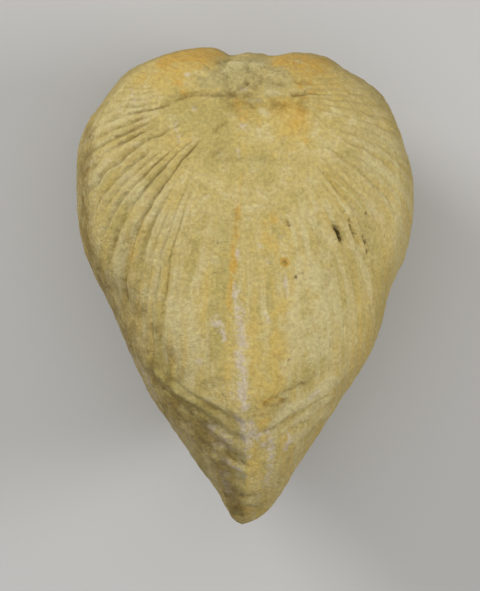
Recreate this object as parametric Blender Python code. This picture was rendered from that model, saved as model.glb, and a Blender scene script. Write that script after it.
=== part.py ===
"""Fossil bivalve: both valves shut, filled and turned to limestone, so the whole thing is one stone.

It lies with its heart-shaped front face upward. +X runs across the two valves, +Y from the pointed
tip to the umbones, and +Z out of the front face. The origin is the middle of the resting side, level
with the surface that the stone lies on. Lengths in this file are in millimetres until the mesh is made.
"""

import math

import bpy
import numpy as np

METRES_PER_MM = 0.001

# Driving dimensions: across the valves, umbones to tip, and front face to resting side.
WIDTH = 25.8
HEIGHT = 36.5
DEPTH = 28.0

# The growth lines of both valves gather at the hinge point, just under the beaks. A bearing is an
# angle in degrees about it, from straight down towards the tip, positive on the +X valve.
HINGE_X = -0.15
HINGE_Y = 14.5

# Distance from the hinge point to the edge of the heart, at each bearing, on either valve.
EDGE_BEARINGS = (0, 2, 4, 8, 18, 27, 36, 46, 60, 75, 90, 105, 118, 132, 145, 160, 180)
LEFT_EDGE = (
    *(33.1, 32.1, 30.2, 28.1, 23.7, 20.3, 18.2, 16.7, 14.5),
    *(12.7, 10.5, 8.8, 7.1, 5.7, 4.8, 3.5, 3.5),
)
RIGHT_EDGE = (
    *(33.1, 32.7, 31.6, 29.0, 24.4, 21.8, 18.9, 17.3, 15.1),
    *(12.7, 10.7, 8.1, 6.8, 5.3, 4.0, 3.6, 3.5),
)

# A growth line leaves the hinge turned outwards from the bearing at which it meets the edge, by the
# swing in degrees, and keeps that turn for longer the higher its hold.
SWING_BEARINGS = (0, 11, 17, 26, 36, 52, 70, 90, 180)
SWING = (0, 15.5, 17.3, 16, 14, 10, 5, 0, 0)
HOLD = (1.8, 1.8, 2.6, 4.5, 6.5, 7.5, 7.5, 7.0, 7.0)

# The widest section, and the domes in front of it and behind it.
EQUATOR_Z = 13.0
TIP_LIFT = 3.5
TIP_LIFT_STARTS_Y = -7.0
TIP_Y = -18.4
DOME_X = 0.0
DOME_Y = 2.8
FRONT_Z = 28.0
BACK_Z = -0.9

# How square the domes are at each y: 2 is an ellipse, and more is flatter with steeper sides.
SQUARENESS_Y = (-18.4, -14.0, -8.0, 0.0, 18.4)
FRONT_SQUARENESS = (2.2, 2.7, 3.6, 3.2, 3.0)
BACK_SQUARENESS = (1.5, 1.7, 2.1, 2.3, 2.3)

# The shoulder is a shallow V across the lower face, y = SHOULDER_Y + RISE |x| + BEND x^2. Below it two
# facets fall away to the tip, meeting in a low keel.
SHOULDER_Y = -9.6
SHOULDER_RISE = 0.42
SHOULDER_BEND = 0.02
SHOULDER_Z = 27.1
SHOULDER_SAG = 0.04
FACET_SLOPE = 0.88
FACET_CURVE = 0.045
FACET_BLEND = 0.25
LEAST_FACET_RISE = 0.2

# Folds on the facets, nested below the shoulder. Their spacing is a share of the way to the edge,
# and they wear out beside the facets and towards the tip.
FOLD_SPACING = 0.18
FOLD_HEIGHT = 0.4
FOLDS_FADE = (7.0, 13.0)
FOLDS_WEAR_OUT = (0.4, 0.8)

# Growth ridges: rounded crests between narrow grooves. Each groove is given by its growth line's
# bearing at the reading share of the way out. They are worn faint over the first few ridges beside
# the middle of the face, over the last few on the umbones, near the hinge, and at the edge. The left
# valve's are the bolder ones.
READING_SHARE = 0.6
LEFT_GROOVES = (
    *(19.4, 23, 26.6, 30, 33.7, 38.8, 45.2, 49.4, 52.8, 56.7, 62.2, 68.2, 71.8, 75.6, 79.9),
    *(83.4, 87.5, 91.2, 94.2, 97.2, 101, 105, 109, 113, 117, 121, 125, 129, 133),
)
RIGHT_GROOVES = (
    *(20, 25.3, 30, 34.6, 39.8, 43.6, 49.2, 53, 57.3, 61.6, 66.4, 70.9, 75, 79, 83),
    *(87, 90.6, 94.4, 98.2, 102, 106, 110, 114, 118, 122, 126, 130, 134, 138),
)
LEFT_RIDGE_HEIGHT = 0.24
RIGHT_RIDGE_HEIGHT = 0.15
FAINT_RIDGES = 3.0
FAINT_UMBO_RIDGES = 6.0
RIDGE_FADE_IN = (0.24, 0.52)
RIDGE_WEAR = (0.75, 1.0)
RIDGE_LEFT_AT_EDGE = 0.6
CREST_ROUNDNESS = 0.5
CREST_MEAN = 0.7

# The crease under the beaks runs level through the hinge point and droops at its left end. A band
# of rough matrix stands proud above it.
CREASE_LEFT_X = -6.3
CREASE_RIGHT_X = 4.6
CREASE_END_FADE = 0.9
CREASE_HALF_WIDTH = 0.4
CREASE_DEPTH = 0.35
CREASE_DROOP = 0.12
CREASE_DROOP_STARTS_X = -3.5
BAND_STEP = 0.3

# Swellings: x, y, spread in x, spread in y, height.
UMBONES = ((-4.0, 16.5, 2.6, 1.9, 0.9), (4.2, 16.2, 2.4, 1.7, 0.8))
MATRIX_KNOBS = (
    (-3.1, 15.6, 0.8, 0.45, 0.40),
    (-1.6, 16.2, 0.6, 0.50, 0.45),
    (-0.3, 15.4, 0.5, 0.40, -0.45),
    (0.7, 16.3, 0.7, 0.45, 0.40),
    (1.9, 15.4, 0.7, 0.40, 0.40),
    (3.2, 15.7, 0.5, 0.50, -0.35),
)

# The commissure, where the valves meet, is a shallow seam round the back.
SEAM_DEPTH = 0.35
SEAM_FADE_IN = (0.2, 0.4)

# Relief rises straight up on the front and back, and turns sideways between these edge shares.
RELIEF_TURNS = (0.80, 1.0)

# Spokes of the mesh follow growth lines: three to a ridge before the fine ridges start, two to a
# fine ridge, and a few more between the two runs of grooves.
FINE_RIDGES_START = 85.0
CENTRE_BEARINGS = (3.0, 7.5, 13.0)
UMBO_STEP = 7.0

# Rings of the mesh, as shares of the way from the hinge point to the shoulder, from there to the
# edge, and from the edge back in to the hind end of the hinge.
FACE_RINGS = (0.12, 0.26, 0.40, 0.54, 0.68, 0.80, 0.91, 1.0)
RIM_RINGS = (0.06, 0.12, 0.18, 0.24, 0.30, 0.36, 0.42, 0.48, 0.54, 0.66, 0.80, 0.92, 1.0)
BACK_RINGS = (0.97, 0.90, 0.80, 0.68, 0.54, 0.40, 0.26, 0.12)
RIM_SHARE = 0.80
RIM_SHARE_BESIDE_SHOULDER = 0.93
SHOULDER_ENDS = (20.0, 35.0)
NEAREST_SHOULDER_SHARE = 0.6
HALVINGS = 20

# The one deep solution pit on the +X valve.
PIT_X = 6.8
PIT_Y = 4.0
PIT_HALF_SIZE = (0.28, 0.80, 0.75)
PIT_TILT = math.radians(28)

STONE_COLOUR = (0.52, 0.42, 0.19, 1.0)
STONE_ROUGHNESS = 0.85


def smooth_step(value, start, end):
    """Runs from 0 at start to 1 at end, level at both."""
    t = np.clip((np.asarray(value, float) - start) / (end - start), 0.0, 1.0)
    return t * t * (3.0 - 2.0 * t)


def smooth_curve(knots, values, at):
    """A cubic through the knots, with each knot's slope taken from its neighbours."""
    knots, values, at = (np.asarray(a, float) for a in (knots, values, at))
    slopes = np.gradient(values, knots)
    left = np.clip(np.searchsorted(knots, at) - 1, 0, len(knots) - 2)
    gap = knots[left + 1] - knots[left]
    t = (at - knots[left]) / gap
    rise = 3.0 * t**2 - 2.0 * t**3
    return (
        values[left] * (1.0 - rise)
        + values[left + 1] * rise
        + gap * slopes[left] * t * (1.0 - t) ** 2
        - gap * slopes[left + 1] * t**2 * (1.0 - t)
    )


def bump(x, y, lump):
    """A rounded swelling, or a hollow if its height is negative."""
    centre_x, centre_y, spread_x, spread_y, height = lump
    return height * np.exp(-(((x - centre_x) / spread_x) ** 2) - ((y - centre_y) / spread_y) ** 2)


def edge_radius(bearing):
    """Distance from the hinge point to the edge of the heart."""
    right = smooth_curve(EDGE_BEARINGS, RIGHT_EDGE, np.abs(bearing))
    left = smooth_curve(EDGE_BEARINGS, LEFT_EDGE, np.abs(bearing))
    return np.where(np.asarray(bearing) < 0.0, left, right)


def line_bearing(edge_bearing, share):
    """The bearing of a growth line at a share of its way out to the edge."""
    size = np.abs(edge_bearing)
    swing = np.interp(size, SWING_BEARINGS, SWING)
    hold = np.interp(size, SWING_BEARINGS, HOLD)
    return edge_bearing + np.sign(edge_bearing) * swing * (1.0 - share**hold)


def on_growth_line(edge_bearing, share):
    """The plan position at a share of the way out along a growth line."""
    bearing = line_bearing(edge_bearing, share)
    reach = share * edge_radius(bearing)
    turned = np.radians(bearing)
    return HINGE_X + reach * np.sin(turned), HINGE_Y - reach * np.cos(turned)


def edge_bearing_of(read_bearing):
    """The edge bearing of the growth line that has a given bearing at the reading share."""
    size = np.arange(0.0, 180.5, 0.5)
    found = np.interp(np.abs(read_bearing), line_bearing(size, READING_SHARE), size)
    return np.sign(read_bearing) * found


def edge_share(x, y):
    """0 at the middle of the dome and 1 on the edge of the heart."""
    bearings = np.arange(-180.0, 180.0, 0.5)
    edge_x, edge_y = on_growth_line(bearings, 1.0)
    edge_angle = np.arctan2(edge_y - DOME_Y, edge_x - DOME_X)
    edge_reach = np.hypot(edge_x - DOME_X, edge_y - DOME_Y)
    angle = np.arctan2(y - DOME_Y, x - DOME_X)
    reach = np.interp(angle, edge_angle, edge_reach, period=2.0 * math.pi)
    return np.clip(np.hypot(x - DOME_X, y - DOME_Y) / reach, 0.0, 1.0)


def equator_height(y):
    """Height of the widest section, which rises towards the tip."""
    down = np.clip((TIP_LIFT_STARTS_Y - y) / (TIP_LIFT_STARTS_Y - TIP_Y), 0.0, 1.0)
    return EQUATOR_Z + TIP_LIFT * down**2


def below_shoulder(x, y):
    """Distance past the V of the shoulder, on the tip's side of it."""
    shoulder_y = SHOULDER_Y + SHOULDER_RISE * np.abs(x) + SHOULDER_BEND * x**2
    slope = SHOULDER_RISE + 2.0 * SHOULDER_BEND * np.abs(x)
    return (shoulder_y - y) / np.hypot(1.0, slope)


def facet_height(x, y):
    """Height of the two facets below the shoulder."""
    below = below_shoulder(x, y)
    fall = FACET_SLOPE * below + FACET_CURVE * np.maximum(below, 0.0) ** 2
    return SHOULDER_Z - SHOULDER_SAG * x**2 - fall


def lower_of(first, second):
    """The lower of two surfaces, with the edge between them rounded."""
    blend = np.clip(0.5 + 0.5 * (second - first) / FACET_BLEND, 0.0, 1.0)
    return second * (1.0 - blend) + first * blend - FACET_BLEND * blend * (1.0 - blend)


def arch(x, y, squareness):
    """1 at the middle of the dome and 0 on the edge of the heart."""
    return (1.0 - edge_share(x, y) ** squareness) ** (1.0 / squareness)


def front_height(x, y):
    """Height of the front: a broad dome, cut by the two facets, with the umbones at the top."""
    rounding = arch(x, y, smooth_curve(SQUARENESS_Y, FRONT_SQUARENESS, y))
    equator = equator_height(y)
    dome_rise = (FRONT_Z - equator) * rounding
    facet_rise = np.maximum(facet_height(x, y) - equator, LEAST_FACET_RISE * dome_rise)
    swellings = sum(bump(x, y, lump) for lump in UMBONES + MATRIX_KNOBS)
    return equator + lower_of(dome_rise, facet_rise) + np.minimum(1.0, 4.0 * rounding) * swellings


def back_height(x, y):
    """Height of the back: a rounder dome, worn flat where the stone rests."""
    equator = equator_height(y)
    rounding = arch(x, y, smooth_curve(SQUARENESS_Y, BACK_SQUARENESS, y))
    return equator - (equator - BACK_Z) * rounding


def ridge_phase(edge_bearing):
    """Number of growth ridges between a valve's first groove and a bearing: whole in each groove."""
    read_bearing = line_bearing(edge_bearing, READING_SHARE)
    left = np.interp(-read_bearing, LEFT_GROOVES, range(len(LEFT_GROOVES)))
    right = np.interp(read_bearing, RIGHT_GROOVES, range(len(RIGHT_GROOVES)))
    return np.where(read_bearing < 0.0, left, right)


def ridge_relief(edge_bearing, share):
    """Growth ridges: high on a crest and low in a groove, flattened towards the hinge."""
    phase = ridge_phase(edge_bearing)
    last = len(LEFT_GROOVES) - 1.0
    crest = np.abs(np.sin(math.pi * phase)) ** CREST_ROUNDNESS - CREST_MEAN
    crest = crest * smooth_step(phase, 0.0, FAINT_RIDGES)
    crest = crest * (1.0 - smooth_step(phase, last - FAINT_UMBO_RIDGES, last))
    height = np.where(np.asarray(edge_bearing) < 0.0, LEFT_RIDGE_HEIGHT, RIGHT_RIDGE_HEIGHT)
    worn = 1.0 - (1.0 - RIDGE_LEFT_AT_EDGE) * smooth_step(share, *RIDGE_WEAR)
    return crest * height * worn * smooth_step(share, *RIDGE_FADE_IN)


def fold_relief(edge_bearing, past_shoulder):
    """Folds on the facets, at a share of the way from the shoulder to the edge."""
    beside = smooth_step(np.abs(edge_bearing), *FOLDS_FADE)
    fade = (1.0 - beside) * (1.0 - smooth_step(past_shoulder, *FOLDS_WEAR_OUT))
    return -FOLD_HEIGHT * fade * np.sin(math.pi * past_shoulder / FOLD_SPACING) ** 2


def crease_relief(x, y):
    """A groove under the beaks, with the matrix band standing proud above it."""
    droop = CREASE_DROOP * np.minimum(x - CREASE_DROOP_STARTS_X, 0.0) ** 2
    above = y - (HINGE_Y - droop)
    within = smooth_step(x, CREASE_LEFT_X, CREASE_LEFT_X + CREASE_END_FADE)
    within = within * (1.0 - smooth_step(x, CREASE_RIGHT_X - CREASE_END_FADE, CREASE_RIGHT_X))
    groove = -CREASE_DEPTH * np.exp(-((above / CREASE_HALF_WIDTH) ** 2))
    step = BAND_STEP * smooth_step(above, 0.0, 2.0 * CREASE_HALF_WIDTH)
    return within * (groove + step * (1.0 - smooth_step(edge_share(x, y), 0.9, 1.0)))


def shoulder_share(bearing):
    """The share of a growth line at which the rings turn from the face to the rim or facets."""
    near, far = np.full_like(bearing, NEAREST_SHOULDER_SHARE), np.ones_like(bearing)
    for _ in range(HALVINGS):
        middle = (near + far) / 2.0
        past = below_shoulder(*on_growth_line(bearing, middle)) > 0.0
        near, far = np.where(past, near, middle), np.where(past, middle, far)
    away = smooth_step(np.abs(bearing), *SHOULDER_ENDS)
    rim = RIM_SHARE_BESIDE_SHOULDER + (RIM_SHARE - RIM_SHARE_BESIDE_SHOULDER) * away
    return np.minimum(far, rim)


def valve_bearings(grooves):
    """Bearings of the spokes on one valve, at the reading share, from the middle line to the top."""
    bearings = list(CENTRE_BEARINGS)
    for groove, following in zip(grooves, grooves[1:]):
        parts = (0.0, 0.3, 0.7) if groove < FINE_RIDGES_START else (0.0, 0.5)
        bearings += [groove + part * (following - groove) for part in parts]
    return [*bearings, *np.arange(grooves[-1], 180.0 - UMBO_STEP / 2.0, UMBO_STEP)]


def spoke_bearings():
    """Edge bearings of all the spokes, in order round the hinge point from the tip."""
    left = [-bearing for bearing in reversed(valve_bearings(LEFT_GROOVES))]
    return edge_bearing_of(np.array([0.0, *valve_bearings(RIGHT_GROOVES), 180.0, *left]))


def outward(x, y):
    """Unit direction in plan away from the middle of the dome."""
    reach = np.maximum(np.hypot(x - DOME_X, y - DOME_Y), 1e-6)
    return (x - DOME_X) / reach, (y - DOME_Y) / reach


def raised(x, y, height, relief):
    """Points with the relief laid on the stone's skin: upward on its faces, sideways at its edge."""
    slant = smooth_step(edge_share(x, y), *RELIEF_TURNS)
    away_x, away_y = outward(x, y)
    upward = (1.0 - slant) * relief
    return np.stack([x + slant * relief * away_x, y + slant * relief * away_y, height + upward], axis=1)


def front_ring(bearings, shares, past_shoulder=0.0):
    """One ring of points on the front."""
    x, y = on_growth_line(bearings, shares)
    relief = ridge_relief(bearings, shares) + fold_relief(bearings, past_shoulder)
    relief = relief + crease_relief(x, y)
    return raised(x, y, front_height(x, y), relief)


def back_ring(bearings, shares):
    """One ring of points on the back."""
    x, y = on_growth_line(bearings, shares)
    seam = SEAM_DEPTH * (bearings == 0.0) * smooth_step(shares, *SEAM_FADE_IN)
    points = raised(x, y, -back_height(x, y), ridge_relief(bearings, shares) - seam)
    points[:, 2] = np.maximum(-points[:, 2], 0.0)
    return points


def stone_points():
    """All points of the stone: front pole, rings from front to back, back pole; and the ring size."""
    bearings = spoke_bearings()
    shoulder = shoulder_share(bearings)
    hinge = np.array([0.0])
    rings = [front_ring(bearings, part * shoulder) for part in FACE_RINGS]
    rings += [front_ring(bearings, shoulder + part * (1.0 - shoulder), part) for part in RIM_RINGS]
    rings += [back_ring(bearings, np.full_like(bearings, part)) for part in BACK_RINGS]
    poles = front_ring(hinge, hinge), back_ring(hinge, hinge)
    return np.concatenate([poles[0], *rings, poles[1]]), len(bearings)


def fit_to_size(points):
    """Scales the points to the driving dimensions and stands them on z = 0, centred in plan."""
    low, high = points.min(axis=0), points.max(axis=0)
    scale = np.array([WIDTH, HEIGHT, DEPTH]) / (high - low)
    middle = np.array([(low[0] + high[0]) / 2.0, (low[1] + high[1]) / 2.0, low[2]])
    return (points - middle) * scale


def ring_faces(point_count, ring_size):
    """Quads between neighbouring rings, and a fan of triangles round each pole."""
    ring_count = (point_count - 2) // ring_size
    last = point_count - 1
    faces = []
    for spoke in range(ring_size):
        beside = (spoke + 1) % ring_size
        faces.append((0, 1 + spoke, 1 + beside))
        for ring in range(ring_count - 1):
            inner = 1 + ring * ring_size
            outer = inner + ring_size
            faces.append((inner + spoke, outer + spoke, outer + beside, inner + beside))
        final = 1 + (ring_count - 1) * ring_size
        faces.append((last, final + beside, final + spoke))
    return faces


def stone_material():
    """Cream-yellow limestone, dry and matt."""
    material = bpy.data.materials.new("cream_limestone")
    material.use_nodes = True
    shader = material.node_tree.nodes["Principled BSDF"]
    shader.inputs["Base Color"].default_value = STONE_COLOUR
    shader.inputs["Roughness"].default_value = STONE_ROUGHNESS
    shader.inputs["Metallic"].default_value = 0.0
    material.diffuse_color = STONE_COLOUR
    return material


def make_stone():
    """The stone itself, as one closed mesh."""
    points, ring_size = stone_points()
    points = fit_to_size(points) * METRES_PER_MM
    mesh = bpy.data.meshes.new("fossil_bivalve")
    mesh.from_pydata(points.tolist(), [], ring_faces(len(points), ring_size))
    mesh.shade_smooth()
    mesh.set_sharp_from_angle(angle=math.radians(40))
    mesh.materials.append(stone_material())
    stone = bpy.data.objects.new("fossil_bivalve", mesh)
    bpy.context.scene.collection.objects.link(stone)
    return stone


def cut_pit(stone):
    """Sinks the solution pit into the face with an egg-shaped cutter."""
    bpy.ops.mesh.primitive_ico_sphere_add(subdivisions=2, radius=1.0)
    cutter = bpy.context.object
    cutter.name = "pit_cutter"
    surface = float(front_height(np.array(PIT_X), np.array(PIT_Y)))
    cutter.location = (PIT_X * METRES_PER_MM, PIT_Y * METRES_PER_MM, surface * METRES_PER_MM)
    cutter.rotation_euler = (0.0, 0.0, PIT_TILT)
    cutter.scale = [half * METRES_PER_MM for half in PIT_HALF_SIZE]
    cutter.display_type = "WIRE"
    cutter.hide_render = True
    cut = stone.modifiers.new("pit", "BOOLEAN")
    cut.operation = "DIFFERENCE"
    cut.object = cutter


def main():
    for old in list(bpy.data.objects):
        bpy.data.objects.remove(old)
    cut_pit(make_stone())


main()
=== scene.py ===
"""Fossil bivalve: the weathered limestone stone in full detail, on a plain stage.

Builds the stone's form from growth lines, gives it ridges, folds and grain with a node tree, and
colours it with one procedural limestone. Lengths are in millimetres until the mesh is made.
"""

import math
from functools import cache

import bpy
import numpy as np
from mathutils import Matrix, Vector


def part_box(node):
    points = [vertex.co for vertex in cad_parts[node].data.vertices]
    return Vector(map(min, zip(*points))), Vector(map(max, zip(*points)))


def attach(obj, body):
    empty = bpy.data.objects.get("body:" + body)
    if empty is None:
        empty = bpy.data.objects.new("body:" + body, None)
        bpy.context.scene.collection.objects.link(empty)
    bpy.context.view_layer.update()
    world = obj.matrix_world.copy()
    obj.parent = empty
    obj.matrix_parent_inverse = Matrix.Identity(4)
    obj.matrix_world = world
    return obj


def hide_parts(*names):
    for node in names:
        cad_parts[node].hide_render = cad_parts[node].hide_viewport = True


bl_info = {
    "name": "Fossil Bivalve",
    "version": (1, 0, 0),
    "blender": (4, 5, 0),
    "location": "3D View > Sidebar > Fossil",
    "description": "Makes a heart-shaped fossil bivalve of weathered limestone",
    "category": "Add Mesh",
}

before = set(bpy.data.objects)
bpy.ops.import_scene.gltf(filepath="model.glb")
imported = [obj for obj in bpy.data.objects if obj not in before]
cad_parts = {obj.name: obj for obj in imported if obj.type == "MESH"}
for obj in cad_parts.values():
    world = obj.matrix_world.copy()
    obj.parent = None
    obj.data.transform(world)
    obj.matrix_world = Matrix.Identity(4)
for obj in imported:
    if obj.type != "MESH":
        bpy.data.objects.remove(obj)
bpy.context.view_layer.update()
NODE = "fossil_bivalve"
BODY = "root"
MM = 0.001

# The growth lines of both valves gather at the hinge point, just under the beaks. A bearing is an
# angle in degrees about it, from straight down towards the tip, positive on the +X valve.
HINGE_X = -0.15
HINGE_Y = 14.5

# Distance from the hinge point to the edge of the heart, at each bearing, on either valve.
EDGE_BEARINGS = (0, 1.5, 3, 4, 8, 18, 27, 36, 46, 60, 75, 90, 105, 118, 132, 145, 160, 180)
LEFT_EDGE = (32.9, 32.2, 30.8, 30.1, 27.75, 23.45, 20.2, 18.2, 16.7, 14.5)
LEFT_EDGE += (12.7, 10.5, 8.8, 7.1, 5.7, 4.8, 3.5, 3.5)
RIGHT_EDGE = (32.9, 32.6, 32.1, 31.6, 29.0, 24.4, 21.8, 18.9, 17.3, 15.1)
RIGHT_EDGE += (12.7, 10.7, 8.1, 6.8, 5.3, 4.0, 3.6, 3.5)

# The edge is followed in steps of this many degrees. Coarser steps pinch the widest section.
EDGE_STEP = 0.02

# A growth line leaves the hinge turned outwards from the bearing at which it meets the edge, by the
# swing in degrees, and keeps that turn for longer the higher its hold. Grooves are placed by their
# bearing at the reading share of the way out.
SWING_BEARINGS = (0, 11, 17, 26, 36, 52, 70, 90, 180)
SWING = (0, 15.5, 17.3, 16, 14, 10, 5, 0, 0)
HOLD = (1.8, 1.8, 2.6, 4.5, 6.5, 7.5, 7.5, 7.0, 7.0)
READING_SHARE = 0.6
READING_STEP = 0.5

# The widest section, and the domes in front of it and behind it.
EQUATOR_Z = 13.0
TIP_LIFT = 3.5
TIP_LIFT_STARTS_Y = -7.0
TIP_Y = -18.4
DOME_X = 0.0
DOME_Y = 2.8
FRONT_Z = 28.0
BACK_Z = -0.9
SQUARENESS_Y = (-18.4, -14.0, -8.0, 0.0, 18.4)
FRONT_SQUARENESS = (2.2, 2.7, 3.6, 3.2, 3.0)
BACK_SQUARENESS = (1.5, 1.7, 2.1, 2.3, 2.3)

# The shoulder is a shallow V across the lower face, and two facets fall from it to the tip.
SHOULDER_Y = -9.6
SHOULDER_RISE = 0.42
SHOULDER_BEND = 0.02
SHOULDER_Z = 27.1
SHOULDER_SAG = 0.04
FACET_SLOPE = 0.88
FACET_CURVE = 0.045
FACET_BLEND = 0.25
LEAST_FACET_RISE = 0.2

# Where the shoulder's arms end, as bearings, and how its place on a growth line is searched for.
SHOULDER_ENDS = (20.0, 35.0)
SHOULDER_SEARCH_FROM = 0.6
SHOULDER_SEARCH_STEPS = 20

# Swellings of the umbones: x, y, spread in x, spread in y, height. They die away in the lowest part of
# the dome, as a share of its rise.
UMBONES = ((-4.0, 16.5, 2.6, 1.9, 0.9), (4.2, 16.2, 2.4, 1.7, 0.8))
UMBO_FADE = 0.25

# Growth grooves: bearing at the reading share, depth as a share of the full ridge height, and the
# shares of the way out between which the groove is open. It opens and closes gradually.
GROOVE_OPENS = (-0.10, 0.06)
GROOVE_CLOSES = (-0.04, 0.03)
LEFT_GROOVES = (
    (19.4, 0.25, 0.50, 1.10), (23.0, 0.35, 0.45, 1.10), (26.6, 0.32, 0.40, 1.10),
    (30.0, 0.25, 0.50, 1.10), (33.7, 0.50, 0.48, 1.10), (38.8, 0.90, 0.32, 1.10),
    (45.2, 0.76, 0.36, 1.05), (49.4, 0.60, 0.42, 0.91), (52.8, 0.40, 0.50, 0.86),
    (56.7, 0.65, 0.54, 0.93), (62.2, 0.85, 0.42, 0.94), (68.2, 0.75, 0.56, 0.94),
    (71.8, 0.75, 0.58, 0.95), (75.6, 0.65, 0.60, 0.95), (79.9, 0.60, 0.50, 0.95),
    (83.4, 0.45, 0.60, 0.96), (87.5, 0.40, 0.62, 0.96), (91.2, 0.35, 0.62, 0.96),
    (94.2, 0.32, 0.62, 0.96), (97.2, 0.30, 0.62, 0.96), (101.0, 0.30, 0.60, 0.97),
    (105.0, 0.28, 0.60, 0.97), (109.0, 0.25, 0.60, 0.97), (113.0, 0.20, 0.62, 0.97),
    (117.0, 0.15, 0.62, 0.97), (121.0, 0.10, 0.65, 0.97), (125.0, 0.05, 0.65, 0.97),
    (129.0, 0.0, 0.65, 0.97), (133.0, 0.0, 0.65, 0.97),
)
RIGHT_GROOVES = (
    (20.0, 0.20, 0.50, 1.10), (25.3, 0.30, 0.50, 1.10), (30.0, 0.22, 0.55, 1.10),
    (34.6, 0.30, 0.45, 1.10), (39.8, 0.32, 0.50, 1.10), (43.6, 0.48, 0.46, 1.10),
    (49.2, 0.42, 0.50, 1.10), (53.0, 0.32, 0.55, 1.10), (57.3, 0.42, 0.50, 1.10),
    (61.6, 0.30, 0.58, 0.98), (66.4, 0.40, 0.58, 0.98), (70.9, 0.38, 0.58, 0.98),
    (75.0, 0.32, 0.58, 0.98), (79.0, 0.38, 0.45, 0.98), (83.0, 0.30, 0.50, 0.98),
    (87.0, 0.32, 0.50, 0.98), (90.6, 0.38, 0.45, 0.98), (94.4, 0.28, 0.50, 0.98),
    (98.2, 0.24, 0.52, 0.98), (102.0, 0.22, 0.54, 0.98), (106.0, 0.20, 0.56, 0.98),
    (110.0, 0.18, 0.58, 0.98), (114.0, 0.14, 0.60, 0.98), (118.0, 0.10, 0.62, 0.98),
    (122.0, 0.08, 0.65, 0.98), (126.0, 0.04, 0.65, 0.98), (130.0, 0.0, 0.65, 0.98),
    (134.0, 0.0, 0.65, 0.98), (138.0, 0.0, 0.65, 0.98),
)

# On the back all grooves are equally deep, but for the first ones beside the middle line. Those that
# close short of the edge in front are worn off on both sides of it.
BACK_GROOVE_DEPTH = 0.6
BACK_GROOVES_DEEPEN = (0.0, 3.0)
BACK_GROOVES_START = (0.25, 0.50)
BACK_GROOVES_OPEN = (0.93, 0.99)

# Close to the edge every groove is worn shallower.
EDGE_WEAR = 0.85
EDGE_WEAR_STARTS = (0.84, 1.0)

# Folds nested below the shoulder. Their spacing is a share of the way from the shoulder to the edge.
FOLD_SPACING = 0.17
FOLDS_FADE = (8.0, 16.0)
FOLDS_WEAR_OUT = (0.45, 0.9)

# The step under the beaks, up to the band of matrix that stands proud above it.
STEP_LEFT_X = -7.2
STEP_RIGHT_X = 4.8
STEP_END_FADE = 1.4
STEP_DROOP = 0.13
STEP_DROOP_STARTS_X = -3.6
STEP_RUN = (-0.3, 0.8)
STEP_HEIGHT = 0.25
STEP_FADES_AT_EDGE = (0.9, 1.0)

# The commissure, where the valves meet, is a shallow seam round the back.
SEAM_DEPTH = 0.35
SEAM_HALF_WIDTH = 0.35
SEAM_STARTS = (0.2, 0.4)

# The end of the stone, between the umbones, wanders sideways on its way down to the back.
END_WANDER = 0.35
END_WANDER_PERIOD = 14.0
END_WANDER_STARTS_Y = (12.5, 16.5)

# Stains, and the painted light and shade among them, fade out down the sides, between these heights.
MARKS_FADE_Z = (11.0, 22.0)

# Streaks follow the growth lines. One is placed across them in millimetres at mid-face.
STREAK_MM_PER_DEGREE = 0.26
# From this share of the way out the rim darkens: brown film, and painted shade where the sides turn from
# the lamps.
RIM_FILM_AND_SHADE_STARTS = (0.86, 1.0)

# Pits on the front: depth, half width, the strength and half width of the dirt in them, and the points
# of the stroke in plan. The first is the deep solution pit, and the last is a stain alone.
PITS = (
    (0.55, 0.12, 1.0, 0.11, (6.7, 4.5), (7.0, 4.1), (7.2, 3.4)),
    (0.12, 0.13, 0.4, 0.16, (7.4, 5.6), (7.6, 5.5)),
    (0.18, 0.13, 0.4, 0.14, (8.5, 5.8), (8.6, 5.8)),
    (0.18, 0.13, 0.4, 0.16, (9.1, 5.6), (9.1, 5.4)),
    (0.18, 0.13, 0.4, 0.16, (9.5, 4.5), (9.6, 4.3)),
    (0.16, 0.12, 0.4, 0.14, (7.8, 5.0), (8.0, 4.3), (8.4, 3.4), (8.4, 2.7)),
    (0.20, 0.12, 0.5, 0.15, (8.9, 3.8), (9.1, 3.2), (9.2, 2.4)),
    (0.20, 0.13, 0.5, 0.17, (3.1, 4.8), (3.3, 4.6)),
    (0.15, 0.13, 0.5, 0.16, (-8.4, 2.6), (-8.4, 2.5)),
    (0.00, 0.13, 0.5, 0.13, (3.8, 0.6), (3.9, 0.7)),
)

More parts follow.
